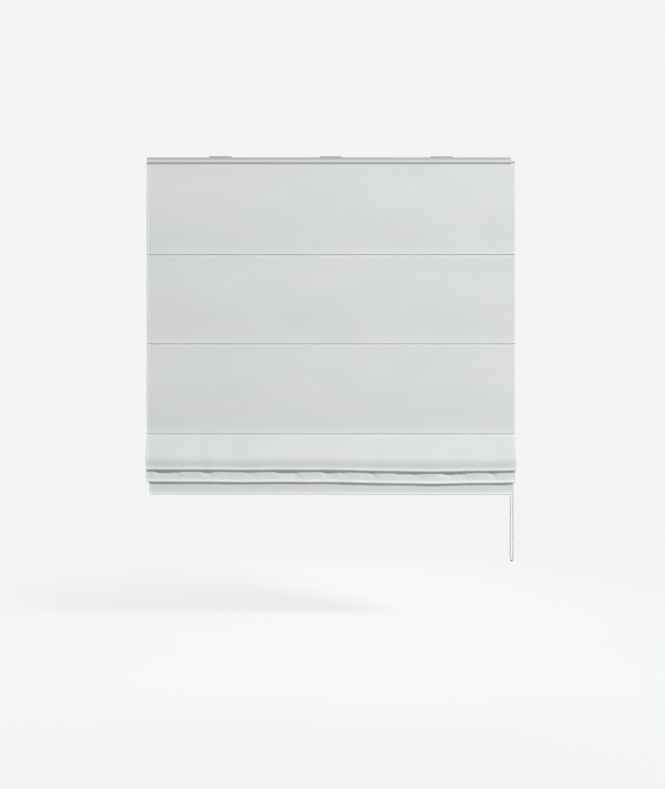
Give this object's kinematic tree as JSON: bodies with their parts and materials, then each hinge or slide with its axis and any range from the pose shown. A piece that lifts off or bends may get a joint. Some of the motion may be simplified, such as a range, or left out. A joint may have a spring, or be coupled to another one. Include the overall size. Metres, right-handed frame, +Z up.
{
  "type": "roman blind",
  "caption": "Chain-operated roman blind with a slim headrail, rod-stiffened cloth panels, gathered lower folds and a hanging bead chain loop.",
  "frame": {"origin": "centre of the middle bracket's top face, in the plane the blind is fixed to", "axes": "+X to the right seen from the room, +Y away from the room towards the window, +Z up"},
  "size_m": [1.098, 0.0647, 1.2141],
  "materials": {
    "rail_paint": "pale grey-white powder coat on an aluminium extrusion",
    "white_moulding": "white moulded plastic, slightly satin",
    "grey_moulding": "light grey moulded acetal",
    "clear_moulding": "milky clear moulded plastic",
    "bracket_steel": "zinc-plated steel plate",
    "spring_steel": "oiled spring steel",
    "shaft_metal": "drawn aluminium hexagon",
    "bar_metal": "mill finish flat bar",
    "rod_fibre": "pale glass-fibre rod",
    "tape": "woven white tape",
    "cloth": "fine pale silver-grey satin weave, lined",
    "cord": "white braided polyester cord",
    "chain_plastic": "pale plastic bead chain"
  },
  "bodies": {
    "root": {"headrail": "rail_paint", "hook_tape": "tape", "end_cap": "white_moulding", "drive_housing": "white_moulding", "drive_cover": "white_moulding", "spool_cradle_1": "white_moulding", "spool_cradle_2": "white_moulding", "spool_cradle_3": "white_moulding", "top_bracket_1": "bracket_steel", "top_bracket_2": "bracket_steel", "top_bracket_3": "bracket_steel", "fabric": "cloth", "lift_cord_1": "cord", "lift_cord_2": "cord", "lift_cord_3": "cord", "bead_chain": "chain_plastic", "chain_connector": "clear_moulding"},
    "shaft": {"drive_shaft": "shaft_metal", "sprocket": "grey_moulding", "drive_core": "grey_moulding", "brake_spring": "spring_steel", "spool_1": "grey_moulding", "spool_2": "grey_moulding", "spool_3": "grey_moulding", "cord_windings": "cord"},
    "lever_1": {"bracket_lever_1": "grey_moulding"},
    "lever_2": {"bracket_lever_2": "grey_moulding"},
    "lever_3": {"bracket_lever_3": "grey_moulding"},
    "rod_1": {"rod_pocket_1": "tape", "rod_1": "rod_fibre", "cord_rings_1": "clear_moulding"},
    "rod_2": {"rod_pocket_2": "tape", "rod_2": "rod_fibre", "cord_rings_2": "clear_moulding"},
    "rod_3": {"rod_pocket_3": "tape", "rod_3": "rod_fibre", "cord_rings_3": "clear_moulding"},
    "rod_4": {"rod_pocket_4": "tape", "rod_4": "rod_fibre", "cord_rings_4": "clear_moulding"},
    "rod_5": {"rod_pocket_5": "tape", "rod_5": "rod_fibre", "cord_rings_5": "clear_moulding", "cord_anchors": "clear_moulding", "bottom_bar": "bar_metal", "bar_cap_left": "white_moulding", "bar_cap_right": "white_moulding"}
  },
  "joints": [
    {"name": "lift_rod_1", "type": "slide", "parent": "root", "child": "rod_1", "axis": [0, 0, 1], "range_m": [0, 0.2307], "deforming": ["fabric", "lift_cord_1", "lift_cord_2", "lift_cord_3"]},
    {"name": "lift_rod_2", "type": "slide", "parent": "rod_1", "child": "rod_2", "axis": [0, 0, 1], "range_m": [0, 0.24943]},
    {"name": "lift_rod_3", "type": "slide", "parent": "rod_2", "child": "rod_3", "axis": [0, 0, 1], "range_m": [0, 0.25263]},
    {"name": "lower_rod_4", "type": "slide", "parent": "rod_3", "child": "rod_4", "axis": [0, 0, 1], "range_m": [-0.1885, 0]},
    {"name": "lower_rod_5", "type": "slide", "parent": "rod_4", "child": "rod_5", "axis": [0, 0, 1], "range_m": [-0.22181, 0]},
    {"name": "shaft_turn", "type": "hinge", "parent": "root", "child": "shaft", "pos_m": [0, 0.004, -0.0285], "axis": [-1, 0, 0], "continuous": true, "deforming": ["bead_chain"]},
    {"name": "lever_turn_1", "type": "hinge", "parent": "root", "child": "lever_1", "pos_m": [-0.33, 0, -0.0017], "axis": [0, 0, 1], "range_deg": [0, 90]},
    {"name": "lever_turn_2", "type": "hinge", "parent": "root", "child": "lever_2", "pos_m": [0, 0, -0.0017], "axis": [0, 0, 1], "range_deg": [0, 90]},
    {"name": "lever_turn_3", "type": "hinge", "parent": "root", "child": "lever_3", "pos_m": [0.33, 0, -0.0017], "axis": [0, 0, 1], "range_deg": [0, 90]}
  ],
  "couplings": [
    {"joint": "lift_rod_2", "follows": "lift_rod_1", "ratio": 1.0806},
    {"joint": "lift_rod_3", "follows": "lift_rod_1", "ratio": 1.0945},
    {"joint": "shaft_turn", "follows": "lift_rod_1", "rad_per_m": 314.37},
    {"joint": "lower_rod_5", "follows": "lower_rod_4", "ratio": 1.1761}
  ]
}
